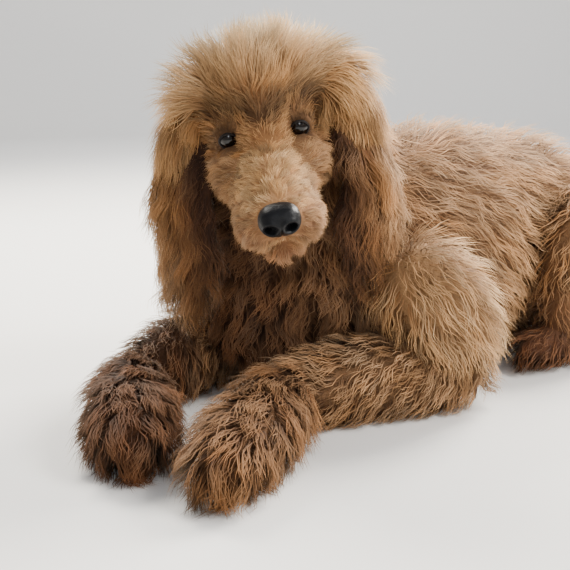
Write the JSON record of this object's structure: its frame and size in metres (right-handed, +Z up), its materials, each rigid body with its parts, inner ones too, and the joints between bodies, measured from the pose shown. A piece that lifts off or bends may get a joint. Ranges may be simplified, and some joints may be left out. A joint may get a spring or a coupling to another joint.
{
  "type": "standard poodle",
  "caption": "Life-size still model of a standard poodle lying on its breast, head up, curly apricot coat, fore legs laid forward on the floor.",
  "frame": {"origin": "on the floor, at the middle of the outline's bounding box", "axes": "+Z up; the dog looks along -Y towards the viewer, with its left side towards +X and its hind quarters towards +X and +Y"},
  "size_m": [0.8584, 0.8058, 0.3899],
  "materials": {
    "body_coat": "long wavy golden brown coat",
    "face_coat": "short soft apricot fur, with a full crown of long hair",
    "leg_coat": "dense wavy red-brown coat",
    "ear_coat": "long wavy ear fringe, darker towards the ends",
    "eye_gloss": "wet dark brown eye",
    "nose_skin": "moist black nose leather"
  },
  "bodies": {
    "root": {"eye_left": "eye_gloss", "eye_right": "eye_gloss", "nose": "nose_skin", "torso": "body_coat", "neck": "body_coat", "head": "face_coat", "lower_jaw": "face_coat", "upper_arm_left": "leg_coat", "forearm_left": "leg_coat", "forepaw_left": "leg_coat", "upper_arm_right": "leg_coat", "forearm_right": "leg_coat", "forepaw_right": "leg_coat", "thigh_left": "leg_coat", "shank_left": "leg_coat", "hind_foot_left": "leg_coat", "thigh_right": "leg_coat", "shank_right": "leg_coat", "hind_foot_right": "leg_coat", "ear_left": "ear_coat", "ear_right": "ear_coat", "tail": "body_coat"}
  },
  "joints": []
}
